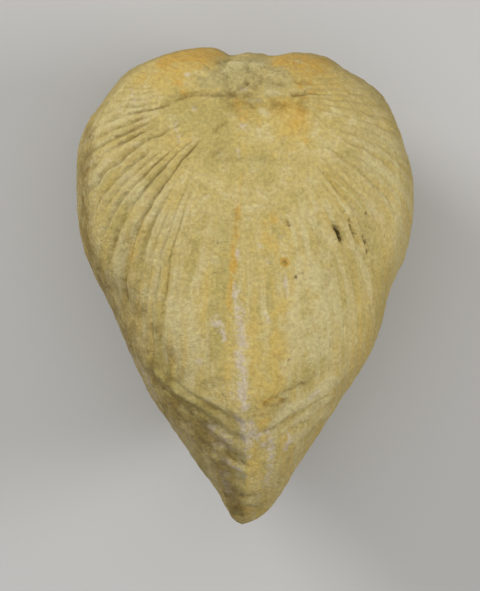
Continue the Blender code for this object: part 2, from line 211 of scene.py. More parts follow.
# Marks in relief on the front: height (negative for a hollow), half width, and the points of the
# stroke in plan.
CARVED_MARKS = (
    *((-depth, half_width, *points) for depth, half_width, _, _, *points in PITS),
    # Nicks on the upper face, and the shallow bench below them.
    (-0.15, 0.17, (-2.1, 11.6), (-1.8, 12.0), (-1.2, 12.4)),
    (-0.12, 0.17, (-2.3, 9.8), (-1.9, 10.1), (-1.5, 10.4)),
    (-0.10, 0.52, (-3.4, 9.6), (-0.3, 9.6), (2.8, 9.6)),
    # The worn hollow on the left flank.
    (-0.30, 0.41, (-8.8, 3.3), (-8.9, 2.2), (-8.8, 1.1)),
    # Crests and grooves of the shoulder's left arm, and the hollow beyond its end.
    (-0.30, 0.80, (-9.7, -0.4), (-8.0, -3.0), (-6.3, -5.6)),
    (0.14, 0.44, (-8.4, -4.5), (-6.6, -6.3), (-5.5, -7.5), (-4.3, -8.1), (-2.9, -8.6), (-1.8, -9.1),
        (-0.3, -9.7)),
    (-0.20, 0.34, (-7.0, -6.7), (-6.3, -7.6), (-5.4, -8.5), (-4.2, -9.4), (-3.0, -10.4), (-2.1, -10.9)),
    (0.12, 0.26, (-6.4, -6.6), (-5.4, -7.7), (-4.0, -8.6), (-2.8, -9.3)),
    (-0.16, 0.26, (-4.3, -9.7), (-3.7, -10.6), (-2.8, -11.4)),
    (0.15, 0.23, (-5.4, -9.6), (-4.3, -10.8), (-3.3, -11.7)),
    # Grooves and crests of its right arm, with a lens-shaped scar.
    (-0.24, 0.22, (4.3, -7.5), (3.1, -8.1), (1.8, -8.9)),
    (-0.20, 0.16, (1.5, -8.9), (2.1, -8.6), (3.0, -8.8)),
    (0.12, 0.40, (8.0, -6.2), (5.6, -8.0)),
    (0.20, 0.40, (5.6, -8.0), (4.2, -9.0), (3.0, -9.7), (2.1, -10.7)),
    (-0.19, 0.25, (5.4, -8.9), (3.9, -9.8), (2.7, -10.6), (1.7, -11.2)),
    (0.15, 0.30, (6.3, -8.5), (5.1, -9.5), (4.2, -10.1), (3.1, -10.9)),
    (-0.16, 0.20, (6.1, -9.1), (5.0, -10.1), (4.1, -10.8), (3.0, -11.7)),
    (0.12, 0.26, (6.2, -9.6), (5.3, -10.2), (4.4, -11.2), (3.4, -12.0)),
    # The crack across the keel with a lip below it, the worn rings at the tip, and the keel.
    (-0.12, 0.14, (-1.3, -12.8), (-0.7, -13.3), (0.3, -13.6)),
    (0.07, 0.26, (-2.4, -12.8), (-1.5, -13.3), (-0.4, -13.8), (0.5, -14.3)),
    (0.10, 0.18, (-0.3, -16.4), (0.6, -16.6), (1.8, -16.2)),
    (-0.14, 0.15, (-0.1, -16.1), (0.9, -16.0)),
    (-0.12, 0.15, (0.2, -17.0), (1.1, -17.1), (1.7, -16.8)),
    (-0.12, 0.16, (-0.8, -17.6), (0.0, -17.7)),
    (0.16, 0.30, (-0.1, -10.1), (0.1, -11.8), (0.2, -14.2), (0.0, -16.1)),
    # The crease under the beaks, and the cracks above it.
    (-0.15, 0.15, (-6.0, 13.6), (-5.3, 14.1), (-4.5, 14.3), (-3.6, 14.5), (-2.4, 14.4), (-1.2, 14.5),
        (-0.6, 14.5), (0.2, 14.2), (0.9, 14.5)),
    (-0.14, 0.15, (-0.1, 14.9), (0.6, 15.3), (1.1, 15.5)),
    (-0.08, 0.20, (1.2, 14.6), (1.4, 15.3), (2.1, 15.3), (3.1, 15.0)),
    (-0.20, 0.15, (3.7, 14.4), (4.3, 14.5), (4.9, 14.7)),
    (-0.15, 0.13, (0.1, 13.5), (0.9, 13.5), (1.6, 13.6)),
    (-0.15, 0.19, (-2.2, 16.3), (-1.5, 17.0), (-0.6, 17.2)),
    (-0.14, 0.15, (4.2, 15.4), (5.1, 15.4)),
    # Knobs and ledges of the matrix.
    (0.20, 0.34, (-0.6, 16.6), (0.2, 16.5)),
    (0.22, 0.26, (1.1, 16.5), (1.8, 16.5)),
    (0.24, 0.30, (-1.4, 15.8), (-0.9, 16.1)),
    (0.20, 0.24, (1.9, 14.6), (3.4, 14.4)),
    (0.22, 0.22, (2.1, 15.9), (3.1, 15.6)),
    (0.18, 0.20, (0.3, 13.9), (1.3, 13.9)),
    (0.14, 0.30, (1.3, 13.3), (1.8, 12.9)),
    (-0.18, 0.40, (0.2, 15.0), (1.3, 15.0)),
    (0.16, 0.37, (-2.9, 15.2), (-1.6, 15.4)),
    (0.22, 0.30, (0.2, 14.5), (0.6, 14.6)),
)

# Stains on the front, with painted light and shade among them: strength, half width, and the points of
# the stroke in plan.
# White calcite: a vein down the middle, and scattered patches.
CALCITE_MARKS = (
    (0.9, 0.19, (-0.6, -0.1), (-0.7, -1.0), (-0.3, -1.8)),
    (1.0, 0.30, (-0.3, -1.8), (-0.2, -3.4), (-0.1, -4.6)),
    (1.4, 0.29, (-0.4, -5.2), (-0.2, -6.0), (-0.1, -6.7), (-0.1, -7.8), (0.1, -9.3)),
    (0.9, 0.37, (-2.0, -2.6), (-1.8, -3.0)),
    (0.9, 0.21, (-1.5, -3.6), (-1.4, -4.3)),
    (0.7, 0.19, (-0.6, 2.8), (-0.4, 2.2)),
    (0.8, 0.16, (1.2, 3.1), (1.3, 2.7)),
    (0.6, 0.22, (2.7, 3.7), (2.8, 3.4)),
    (0.7, 0.16, (3.0, 1.0), (3.1, 0.1), (3.2, -0.7)),
    (0.7, 0.19, (1.6, -2.1), (1.8, -2.7)),
    (0.7, 0.19, (3.0, -2.3), (3.6, -2.0)),
    (0.6, 0.21, (1.6, 2.0), (1.9, 1.8)),
    (0.6, 0.19, (-0.8, 0.3), (-0.3, -0.3)),
    (0.8, 0.21, (-3.5, -5.8), (-3.1, -5.7)),
    (0.7, 0.22, (-6.0, -4.9), (-5.9, -5.5)),
    (0.8, 0.34, (-0.4, -9.9), (0.1, -10.6), (0.0, -11.5)),
    (1.0, 0.37, (0.5, -10.6), (0.7, -11.1), (0.4, -11.7)),
    (0.8, 0.26, (0.2, -12.1), (0.4, -13.1)),
    (0.8, 0.30, (1.9, -11.3), (2.1, -12.3), (2.0, -13.6)),
    (0.6, 0.23, (2.0, -13.7), (1.8, -14.7), (1.5, -15.5)),
    (0.8, 0.23, (3.5, -11.5), (3.1, -12.4)),
    (0.6, 0.23, (-2.3, -12.8), (-1.4, -13.2), (-0.4, -13.8), (0.2, -14.5)),
    (0.5, 0.27, (-1.0, -14.8), (-0.8, -16.3), (-0.6, -17.4)),
    (0.8, 0.14, (-9.0, -3.7), (-8.6, -4.6), (-7.8, -6.1), (-7.1, -7.4), (-6.6, -8.7)),
    (0.7, 0.14, (-5.5, -10.2), (-5.0, -11.1)),
    (0.7, 0.17, (2.4, -16.8), (2.8, -16.0)),
    (0.6, 0.19, (4.9, -8.4), (5.5, -7.8)),
    (0.6, 0.22, (-5.0, 12.4), (-5.0, 11.7), (-4.8, 10.9)),
    (0.7, 0.22, (-0.1, 12.0), (0.3, 11.8)),
    (0.6, 0.19, (-0.4, 10.2), (-0.3, 9.8)),
    (0.6, 0.22, (-0.1, 14.9), (0.2, 14.7)),
    (0.6, 0.21, (-4.0, 15.9), (-3.8, 15.8)),
    (0.6, 0.21, (-3.9, 13.5), (-3.7, 13.3)),
    (0.6, 0.17, (-8.2, 15.0), (-8.0, 13.7)),
    (0.6, 0.19, (-1.0, -8.0), (-0.8, -8.5)),
    (0.75, 0.55, (-2.7, -10.8), (-1.9, -11.8), (-1.2, -12.2)),
    (0.65, 0.50, (-1.5, -14.2), (-1.2, -16.0)),
    (0.75, 0.40, (1.0, -11.2), (1.7, -12.2)),
)
# Iron stain, deepest on the umbones and under the beaks.
OCHRE_MARKS = (
    (0.6, 0.20, (-0.2, 8.3), (-0.3, 7.0), (-0.4, 5.9)),
    (1.0, 0.24, (-0.4, 5.9), (-0.4, 5.2), (-0.6, 4.7), (-0.5, 4.0)),
    (0.9, 0.24, (-0.5, 4.0), (-0.8, 2.8)),
    (1.5, 0.24, (-0.8, 2.8), (-0.7, 2.0), (-0.8, 1.3)),
    (0.9, 0.22, (-0.8, 1.3), (-0.9, 0.2), (-1.1, -1.0)),
    (0.8, 0.22, (-1.1, -1.0), (-1.0, -1.9), (-1.0, -3.4)),
    (5.0, 0.19, (3.0, 1.8), (3.1, 1.7)),
    (0.6, 0.30, (2.0, 5.3), (2.3, 4.8)),
    (0.9, 0.50, (-0.4, 13.9), (-0.2, 13.4), (0.0, 12.9)),
    (1.0, 0.90, (3.3, 13.9), (3.9, 13.3), (4.1, 12.7)),
    (0.6, 0.40, (4.3, 14.4), (5.0, 14.0), (5.7, 13.3)),
    (0.6, 0.37, (4.5, 12.3), (4.6, 10.9)),
    (0.5, 0.30, (2.3, 10.7), (2.5, 10.2)),
    (0.5, 0.22, (-4.1, 11.5), (-4.0, 11.0)),
    (1.6, 0.80, (-5.4, 17.3), (-3.9, 17.8), (-2.6, 17.5)),
    (0.9, 0.34, (-3.4, 16.6), (-2.8, 16.3)),
    (0.8, 0.50, (-4.6, 15.4), (-4.3, 14.7)),
    (0.7, 0.30, (-4.5, 16.9), (-4.6, 16.1)),
    (0.6, 0.45, (-5.8, 16.9), (-6.4, 15.9)),
    (1.25, 0.85, (2.8, 17.0), (4.2, 17.2), (5.6, 17.0)),
    (0.7, 0.37, (3.3, 16.0), (4.0, 15.7)),
    (0.9, 0.22, (4.0, 15.4), (5.2, 15.4)),
    (0.9, 0.30, (4.4, 15.0), (5.2, 14.6)),
    (0.9, 0.22, (1.5, -8.9), (2.1, -8.6), (2.9, -8.7)),
    (0.6, 0.16, (0.6, -5.7), (0.6, -7.0), (0.7, -8.4)),
    (0.7, 0.30, (-0.4, -16.6), (0.1, -17.2), (0.5, -17.7)),
    (0.6, 0.37, (1.3, -9.6), (1.8, -10.1)),
    (0.5, 0.30, (-0.3, -0.6), (0.0, -1.0)),
    (0.6, 0.45, (-8.4, 3.2), (-8.5, 1.7)),
)
# Golden stone, where the iron is thin.
YELLOW_MARKS = (
    (0.9, 0.60, (0.7, -3.4), (0.7, -6.4), (1.0, -8.7), (1.5, -10.9)),
    (0.9, 0.74, (2.4, -3.8), (2.7, -5.7), (1.9, -8.1)),
    (0.8, 0.59, (3.1, -1.2), (2.4, -2.1), (1.6, -3.4)),
    (0.8, 0.45, (1.5, 4.7), (1.9, 3.1), (3.0, 2.6)),
    (0.8, 0.37, (-1.3, -4.3), (-1.1, -5.7), (-1.2, -8.1)),
    (1.0, 1.40, (-7.0, 15.6), (-4.4, 16.6), (-2.4, 17.0)),
    (1.0, 1.20, (2.7, 16.6), (5.0, 16.4), (6.8, 15.6)),
    (0.6, 0.45, (-2.4, 2.5), (-1.0, 2.3)),
    (0.7, 0.37, (-0.4, 11.2), (0.2, 10.0)),
    (0.7, 0.37, (1.8, 10.5), (2.3, 9.9)),
    (0.9, 0.38, (0.9, -12.4), (1.1, -14.2), (1.1, -15.5)),
    (0.7, 0.30, (0.5, 14.0), (1.3, 12.1)),
    (0.9, 0.8, (0.4, 13.4), (2.2, 13.0), (3.6, 12.9)),
    (1.1, 0.9, (3.2, 13.4), (3.6, 12.4), (3.4, 11.4)),
    (0.8, 0.45, (2.7, 13.7), (2.8, 11.7)),
    (0.7, 0.22, (3.5, 0.9), (3.7, -0.6)),
    (0.6, 0.38, (5.8, 14.3), (6.9, 15.0)),
    (0.6, 0.46, (-1.4, -16.6), (1.4, -17.6)),
    (0.6, 0.30, (1.3, 3.4), (1.5, -0.4)),
)
# Stone tinged with clay, in broad and even patches.
OLIVE_MARKS = (
    (0.9, 1.3, (-4.2, 13.0), (-2.6, 12.6), (-1.6, 10.8)),
    (1.1, 0.8, (-1.6, 13.7), (0.8, 13.5)),
    (0.9, 0.6, (2.4, 13.8), (4.2, 13.9)),
    (0.7, 0.9, (-2.0, 9.6), (1.6, 9.4)),
    (0.7, 0.6, (-1.6, 4.6), (-1.5, 0.4), (-1.9, -4.6)),
    (0.8, 0.8, (-6.6, -6.0), (-4.6, -8.4), (-2.4, -10.2)),
    (0.5, 0.8, (-9.3, 6.6), (-10.2, 3.4)),
    (0.5, 0.7, (5.9, -5.4), (3.4, -7.6)),
)
# Chalky stone on worn crests and knobs. Some strokes are painted light, as marked.
PALE_MARKS = (
    (1.2, 0.24, (1.3, 13.2), (1.7, 12.9)),
    # The next two are chalky streaks, partly painted light where the face turns to the upper-left lamp.
    (0.9, 0.42, (-4.1, -0.8), (-3.8, -3.6), (-3.6, -5.8)),
    (0.9, 0.37, (-5.4, -0.6), (-5.3, -2.8), (-5.2, -4.9)),
    # The next three are painted highlights on the crests of the shoulder's right arm.
    (2.0, 0.32, (6.6, -7.2), (5.7, -7.9), (4.2, -9.0), (3.0, -9.7), (2.2, -10.7)),
    (1.3, 0.24, (6.3, -8.5), (5.1, -9.5), (4.2, -10.1), (3.1, -10.9)),
    (1.1, 0.24, (6.2, -9.6), (5.3, -10.2), (4.4, -11.2), (3.6, -11.8)),
    # A painted highlight on the crest of the shoulder's left arm.
    (0.9, 0.26, (-2.8, -8.4), (-2.2, -8.5), (-1.5, -9.2)),
    (1.2, 0.15, (-3.0, 6.5), (-2.6, 6.7)),
    (1.0, 0.15, (-5.2, 0.2), (-5.1, -0.0)),
    (0.9, 0.30, (-0.6, 16.6), (0.2, 16.5)),
    (0.9, 0.23, (1.1, 16.5), (1.7, 16.5)),
    (0.8, 0.26, (-1.4, 15.8), (-0.9, 16.1)),
    (1.0, 0.18, (1.9, 14.5), (3.5, 14.4)),
    (0.8, 0.15, (0.3, 13.9), (1.3, 13.9)),
    (0.7, 0.45, (4.2, 2.0), (5.3, -1.2)),
    (0.6, 0.52, (5.6, 4.5), (6.4, 3.4)),
    (0.6, 0.37, (0.2, 7.1), (0.2, 5.9)),
    (0.7, 0.22, (-3.1, 3.0), (-3.0, 1.7)),
    (0.6, 0.22, (1.0, 11.7), (1.8, 10.0)),
    (0.6, 0.45, (5.4, 11.5), (6.4, 10.2)),
    (0.6, 0.30, (2.7, -5.8), (3.0, -6.5)),
    # Painted light, where the face turns to the upper-left lamp.
    (0.5, 0.9, (-6.9, 2.5), (-5.9, -1.5), (-4.8, -4.0)),
    (0.7, 0.9, (-8.6, 8.0), (-6.8, 6.0), (-5.9, 4.5)),
    (0.8, 1.0, (-9.6, 12.6), (-7.4, 14.0)),
    (0.95, 1.3, (5.6, 1.0), (6.0, -2.0), (5.2, -4.5)),
    (0.4, 1.6, (8.8, 11.0), (9.6, 7.0), (9.4, 3.0)),
)
# Brown film in the crease, the folds and the cracks, and along the rim. Some strokes are painted shade,
# as marked.
BROWN_MARKS = (
    # The first three follow the crease: brown film, and a painted shadow under the band that overhangs
    # it.
    (0.7, 0.19, (-6.0, 13.5), (-5.3, 14.0), (-4.5, 14.2), (-3.6, 14.5), (-2.4, 14.4), (-1.2, 14.5)),
    (0.7, 0.26, (-1.2, 14.6), (-0.6, 14.5), (-0.1, 14.2)),
    (0.7, 0.18, (-0.1, 14.2), (0.9, 14.5)),
    (0.8, 0.19, (-0.1, 14.9), (0.6, 15.3)),
    (0.5, 0.30, (1.2, 14.5), (1.4, 15.3), (2.1, 15.4)),
    (0.6, 0.20, (2.1, 15.3), (3.2, 15.0)),
    (0.9, 0.16, (3.7, 14.4), (4.4, 14.5), (4.9, 14.7)),
    (0.6, 0.22, (4.1, 15.4), (5.2, 15.3)),
    (0.5, 0.18, (-2.1, 11.6), (-1.8, 12.0), (-1.3, 12.4)),
    (0.7, 0.15, (-2.3, 9.8), (-1.9, 10.1), (-1.5, 10.4)),
    (0.35, 0.37, (-3.4, 9.4), (-0.3, 9.6), (2.8, 9.4)),
    # The next two are painted shade, with brown film, below the crest of the shoulder's left arm.
    (0.9, 0.30, (-7.0, -6.8), (-6.3, -7.6), (-5.2, -8.6), (-4.0, -9.4), (-3.0, -10.4)),
    (0.6, 0.26, (-3.0, -8.9), (-2.1, -9.3), (-1.3, -9.9)),
    (0.4, 0.28, (5.3, -6.6), (4.3, -7.4)),
    (0.6, 0.22, (4.3, -7.4), (3.1, -8.1), (2.2, -8.6)),
    (0.8, 0.16, (1.5, -9.0), (2.4, -9.1), (3.0, -8.8)),
    # Painted shade, with brown film, in the groove below a crest of the shoulder's right arm.
    (0.6, 0.22, (5.1, -9.1), (3.9, -9.8), (2.7, -10.6), (1.5, -11.2)),
    (0.35, 0.35, (4.8, -7.4), (3.4, -8.4), (2.4, -9.4)),
    (0.8, 0.14, (-1.3, -12.8), (-0.7, -13.3), (0.3, -13.6)),
    (0.9, 0.20, (-0.8, -17.6), (0.0, -17.7)),
    (0.7, 0.15, (-0.1, -16.1), (0.9, -16.1)),
    (0.5, 0.15, (0.2, -17.0), (1.4, -17.1)),
    (0.5, 0.68, (-2.9, -11.5), (-1.4, -12.1), (-0.6, -12.7)),
    (0.5, 0.18, (0.2, 13.5), (1.3, 13.5)),
    (0.5, 0.50, (0.1, 15.0), (1.3, 15.1)),
    (0.5, 0.22, (0.6, -5.8), (0.7, -7.2)),
    (0.6, 0.30, (-5.0, -3.8), (-4.5, -4.6)),
    (0.4, 0.30, (-0.6, 5.8), (-0.6, 4.4)),
    (1.8, 0.13, (3.0, 1.8), (3.1, 1.7)),
    # The next two are painted shade: a dark band down the lower left, where the side turns from the
    # lamps.
    (0.7, 0.9, (-10.2, -1.4), (-7.9, -4.8), (-5.6, -7.2)),
    (0.6, 0.8, (-9.3, 0.2), (-7.4, -2.4), (-5.6, -5.0), (-4.6, -6.6)),
    (0.35, 1.5, (-2.5, -4.8), (-2.1, -7.8)),
    # The next three are painted shade, on the lower-left facet and the tip, which turn from the lamps.
    (0.85, 1.0, (-5.5, -8.8), (-3.6, -10.6), (-2.6, -11.8)),
    (0.70, 0.9, (-2.6, -11.8), (-1.8, -13.2), (-1.2, -15.0)),
    (0.85, 0.9, (-0.9, -15.6), (-0.4, -17.2)),
    # The next four are brown film and painted shade, on the face just under the step.
    (0.35, 0.6, (-4.2, 13.7), (-0.8, 13.7)),
    (0.6, 0.8, (-1.0, 13.8), (0.6, 13.6)),
    (0.6, 0.8, (2.4, 13.6), (4.3, 13.8)),
    (0.4, 0.5, (0.6, 13.7), (2.4, 13.7)),
    # Brown film and painted shade down the left rim, where the side turns from the lamps.
    (0.9, 0.5, (-11.6, 12.0), (-12.1, 8.0), (-11.9, 3.6), (-10.6, -0.6), (-8.6, -4.6)),
)
# Grey-cream sediment that fills the notch between the umbones.
MATRIX_MARKS = (
    (1.3, 0.85, (-2.3, 15.4), (2.9, 15.4)),
    (1.3, 0.65, (-0.9, 16.6), (1.7, 16.6)),
)
STAINS_AND_PAINTED_LIGHT = {
    "calcite": CALCITE_MARKS,
    "ochre": OCHRE_MARKS,
    "yellow": YELLOW_MARKS,
    "olive": OLIVE_MARKS,
    "pale": PALE_MARKS,
    "brown": BROWN_MARKS,
    "dirt": [(strength, half_width, *points) for _, _, strength, half_width, *points in PITS],
    "matrix": MATRIX_MARKS,
}

# The relief: how rounded a ridge's crest is, how far a groove opens and closes, how far folds stray,
# how far threads are drawn out along the growth lines, and how much higher grain is on the matrix.
CREST_ROUNDNESS = 0.7
OPENING_CHANGE = 2.4
FOLD_BEND = 0.9
THREAD_STRETCH = 0.16
MATRIX_ROUGHER = 1.2

# The limestone: how far streaks are drawn out, how strong a line between two grooves is, the contrast
# of the grains, and typical values for chalky stone and calcite.
STREAK_STRETCH = 0.12
LINE_BETWEEN_STRENGTH = 0.4
GRAIN_CONTRAST = 0.42
STONE_ROUGHNESS = 0.9
CALCITE_ROUGHNESS = 0.65
CALCITE_IOR = 1.5

# The stage: matt paper; soft lamps with their place and size in metres, and the setting that gives
# their power; and a lens that looks straight down, with its place in millimetres. The floor in view is
# measured along the picture's long side.
PAPER_ROUGHNESS = 0.95
LAMPS = (
    ("right_lamp", (0.28, -0.02, 0.17), 0.14, "right_power"),
    ("left_lamp", (-0.22, 0.19, 0.17), 0.14, "left_power"),
    ("overhead_lamp", (0.0, 0.0, 0.60), 0.50, "overhead_power"),
)
SENSOR_WIDTH = 36.0
FLOOR_IN_VIEW = 46.83
CLIP_START = 10.0
LENS_X = -0.386
LENS_Y = -0.733

# The mesh: spokes on each valve between the middle line and the first groove, to each ridge, which are
# narrow from one bearing on, and behind the umbones; rings on the face, from the shoulder to the edge,
# and on the back.
CENTRE_SPOKES = 28
COARSE_RIDGE_SPOKES = 9
FINE_RIDGE_SPOKES = 6
FINE_RIDGES_START = 85.0
UMBO_SPOKES = 14
FACE_RINGS = 84
RIM_RINGS = 62
BACK_RINGS = 40
RIM_SHARE = 0.80
RIM_SHARE_BESIDE_SHOULDER = 0.93

# How strongly the rings crowd towards the edge. On the facets, close to the middle line, they hardly do.
FACET_CROWDING = 1.25
RIM_CROWDING = 2.5
CROWDING_STARTS = (6.0, 18.0)
BACK_CROWDING = 1.9


def smooth_step(value, start, end):
    """Runs from 0 at start to 1 at end, level at both."""
    t = np.clip((np.asarray(value, float) - start) / (end - start), 0.0, 1.0)
    return t * t * (3.0 - 2.0 * t)


def smooth_curve(knots, values, at):
    """A cubic through the knots, with each knot's slope taken from its neighbours."""
    knots, values, at = (np.asarray(a, float) for a in (knots, values, at))
    slopes = np.gradient(values, knots)
    left = np.clip(np.searchsorted(knots, at) - 1, 0, len(knots) - 2)
    gap = knots[left + 1] - knots[left]
    t = (at - knots[left]) / gap
    rise = 3.0 * t**2 - 2.0 * t**3
    return (
        values[left] * (1.0 - rise)
        + values[left + 1] * rise
        + gap * slopes[left] * t * (1.0 - t) ** 2
        - gap * slopes[left + 1] * t**2 * (1.0 - t)
    )


def edge_radius(bearing):
    """Distance from the hinge point to the edge of the heart."""
    right = smooth_curve(EDGE_BEARINGS, RIGHT_EDGE, np.abs(bearing))
    left = smooth_curve(EDGE_BEARINGS, LEFT_EDGE, np.abs(bearing))
    return np.where(np.asarray(bearing) < 0.0, left, right)


def line_bearing(edge_bearing, share):
    """The bearing of a growth line at a share of its way out to the edge."""
    size = np.abs(edge_bearing)
    swing = np.interp(size, SWING_BEARINGS, SWING)
    hold = np.interp(size, SWING_BEARINGS, HOLD)
    return edge_bearing + np.sign(edge_bearing) * swing * (1.0 - share**hold)


def on_growth_line(edge_bearing, share):
    """The plan position at a share of the way out along a growth line."""
    bearing = line_bearing(edge_bearing, share)
    reach = share * edge_radius(bearing)
    turned = np.radians(bearing)
    return HINGE_X + reach * np.sin(turned), HINGE_Y - reach * np.cos(turned)


def edge_bearing_of(read_bearing):
    """The edge bearing of the growth line that has a given bearing at the reading share."""
    size = np.arange(0.0, 180.0 + READING_STEP, READING_STEP)
    found = np.interp(np.abs(read_bearing), line_bearing(size, READING_SHARE), size)
    return np.sign(read_bearing) * found


@cache
def heart_edge():
    """Angles about the middle of the dome, and the distance to the edge of the heart at each."""
    edge_x, edge_y = on_growth_line(np.arange(-180.0, 180.0, EDGE_STEP), 1.0)
    angle = np.arctan2(edge_y - DOME_Y, edge_x - DOME_X)
    order = np.argsort(angle)
    return angle[order], np.hypot(edge_x - DOME_X, edge_y - DOME_Y)[order]


def edge_share(x, y):
    """0 at the middle of the dome and 1 on the edge of the heart."""
    angle = np.arctan2(y - DOME_Y, x - DOME_X)
    reach = np.interp(angle, *heart_edge(), period=2.0 * math.pi)
    return np.clip(np.hypot(x - DOME_X, y - DOME_Y) / reach, 0.0, 1.0)


def equator_height(y):
    """Height of the widest section, which rises towards the tip."""
    down = np.clip((TIP_LIFT_STARTS_Y - y) / (TIP_LIFT_STARTS_Y - TIP_Y), 0.0, 1.0)
    return EQUATOR_Z + TIP_LIFT * down**2


def below_shoulder(x, y):
    """Distance past the V of the shoulder, on the tip's side of it."""
    shoulder_y = SHOULDER_Y + SHOULDER_RISE * np.abs(x) + SHOULDER_BEND * x**2
    slope = SHOULDER_RISE + 2.0 * SHOULDER_BEND * np.abs(x)
    return (shoulder_y - y) / np.hypot(1.0, slope)


def facet_height(x, y):
    """Height of the two facets below the shoulder."""
    below = below_shoulder(x, y)
    fall = FACET_SLOPE * below + FACET_CURVE * np.maximum(below, 0.0) ** 2
    return SHOULDER_Z - SHOULDER_SAG * x**2 - fall


def lower_of(first, second):
    """The lower of two surfaces, with the edge between them rounded."""
    blend = np.clip(0.5 + 0.5 * (second - first) / FACET_BLEND, 0.0, 1.0)
    return second * (1.0 - blend) + first * blend - FACET_BLEND * blend * (1.0 - blend)


def front_height(x, y):
    """Height of the front: a broad dome, cut by the two facets, with the umbones at the top."""
    equator = equator_height(y)
    squareness = smooth_curve(SQUARENESS_Y, FRONT_SQUARENESS, y)
    arch = (1.0 - edge_share(x, y) ** squareness) ** (1.0 / squareness)
    dome_rise = (FRONT_Z - equator) * arch
    facet_rise = np.maximum(facet_height(x, y) - equator, LEAST_FACET_RISE * dome_rise)
    umbones = sum(
        height * np.exp(-(((x - at_x) / wide) ** 2) - ((y - at_y) / tall) ** 2)
        for at_x, at_y, wide, tall, height in UMBONES
    )
    umbones = umbones * np.minimum(1.0, arch / UMBO_FADE)
    return equator + lower_of(dome_rise, facet_rise) + umbones


def back_height(x, y):
    """Height of the back: a rounder dome, worn flat where the stone rests."""
    equator = equator_height(y)
    squareness = smooth_curve(SQUARENESS_Y, BACK_SQUARENESS, y)
    arch = (1.0 - edge_share(x, y) ** squareness) ** (1.0 / squareness)
    return np.maximum(equator - (equator - BACK_Z) * arch, 0.0)


def shoulder_share(bearing):
    """The share of a growth line at which the rings turn from the face to the rim or facets."""
    near, far = np.full_like(bearing, SHOULDER_SEARCH_FROM), np.ones_like(bearing)
    for _ in range(SHOULDER_SEARCH_STEPS):
        middle = (near + far) / 2.0
        past = below_shoulder(*on_growth_line(bearing, middle)) > 0.0
        near, far = np.where(past, near, middle), np.where(past, middle, far)
    beside = 1.0 - smooth_step(np.abs(bearing), *SHOULDER_ENDS)
    rim = RIM_SHARE + (RIM_SHARE_BESIDE_SHOULDER - RIM_SHARE) * beside
    return np.minimum(far, rim)


def distance_to_stroke(x, y, points):
    """Distance in plan from each position to the stroke through the points."""
    nearest = np.full_like(x, np.inf)
    for (x0, y0), (x1, y1) in zip(points, points[1:]):
        run_x, run_y = x1 - x0, y1 - y0
        along = ((x - x0) * run_x + (y - y0) * run_y) / (run_x**2 + run_y**2)
        along = np.clip(along, 0.0, 1.0)
        nearest = np.minimum(nearest, np.hypot(x - x0 - along * run_x, y - y0 - along * run_y))
    return nearest


def carved_height(x, y):
    """Height of the marks in relief, and of the step under the beaks, at each plan position."""
    droop = STEP_DROOP * np.minimum(x - STEP_DROOP_STARTS_X, 0.0) ** 2
    above = y - (HINGE_Y - droop)
    within = smooth_step(x, STEP_LEFT_X, STEP_LEFT_X + STEP_END_FADE)
    within = within * (1.0 - smooth_step(x, STEP_RIGHT_X - STEP_END_FADE, STEP_RIGHT_X))
    within = within * (1.0 - smooth_step(edge_share(x, y), *STEP_FADES_AT_EDGE))
    total = STEP_HEIGHT * within * smooth_step(above, *STEP_RUN)
    for height, half_width, *points in CARVED_MARKS:
        total += height * np.exp(-((distance_to_stroke(x, y, points) / half_width) ** 2))
    return total


def mark_strength(x, y, marks):
    """How strong a mark is: full along its strokes, and none at two half widths from them. Marks are
    stains, and painted light and shade.
    """
    strongest = np.zeros_like(x)
    for strength, half_width, *points in marks:
        fade = 1.0 - distance_to_stroke(x, y, points) / (2.0 * half_width)
        strongest = np.maximum(strongest, strength * np.clip(fade, 0.0, 1.0))
    return strongest


def valve_bearings(grooves):
    """Bearings of the spokes on one valve, at the reading share, from the middle line to the top."""
    bearings = list(np.linspace(0.0, grooves[0][0], CENTRE_SPOKES, endpoint=False)[1:])
    for (groove, *_), (following, *_) in zip(grooves, grooves[1:]):
        count = COARSE_RIDGE_SPOKES if groove < FINE_RIDGES_START else FINE_RIDGE_SPOKES
        bearings += list(np.linspace(groove, following, count, endpoint=False))
    return [*bearings, *np.linspace(grooves[-1][0], 180.0, UMBO_SPOKES, endpoint=False)]


def spoke_bearings():
    """Edge bearings of all the spokes, in order round the hinge point from the tip."""
    left = [-bearing for bearing in reversed(valve_bearings(LEFT_GROOVES))]
    return edge_bearing_of(np.array([0.0, *valve_bearings(RIGHT_GROOVES), 180.0, *left]))


def groove_fields(edge_bearing, share, on_back):
    """The number of ridges from a valve's first groove, and how deep the grooves are cut there."""
    read_bearing = line_bearing(edge_bearing, READING_SHARE)
    phase = np.zeros_like(read_bearing)
    depth = np.zeros_like(read_bearing)
    worn = 1.0 - EDGE_WEAR * smooth_step(share, *EDGE_WEAR_STARTS)
    for side, grooves in ((-1.0, LEFT_GROOVES), (1.0, RIGHT_GROOVES)):
        bearings, depths, starts, ends = np.array(grooves).T
        # The first ridge rises out of the smooth middle of the face.
        from_middle = (2.0 * bearings[0] - bearings[1], *bearings)
        number = np.interp(side * read_bearing, from_middle, np.arange(-1.0, len(bearings)))
        cut = np.interp(side * read_bearing, from_middle, (0.0, *depths))
        start = np.interp(side * read_bearing, bearings, starts)
        end = np.interp(side * read_bearing, bearings, ends)
        if on_back:
            worn_off = smooth_step(share, *BACK_GROOVES_OPEN) * (end < 1.0)
            deep = smooth_step(number, *BACK_GROOVES_DEEPEN) * smooth_step(share, *BACK_GROOVES_START)
            cut = BACK_GROOVE_DEPTH * deep * (cut > 0.0) * (1.0 - worn_off)
        else:
            cut = cut * smooth_step(share - start, *GROOVE_OPENS)
            cut = cut * (1.0 - smooth_step(share - end, *GROOVE_CLOSES))
        this_valve = side * read_bearing > 0.0
        phase = np.where(this_valve, number, phase)
        depth = np.where(this_valve, cut * worn, depth)
    return phase, depth


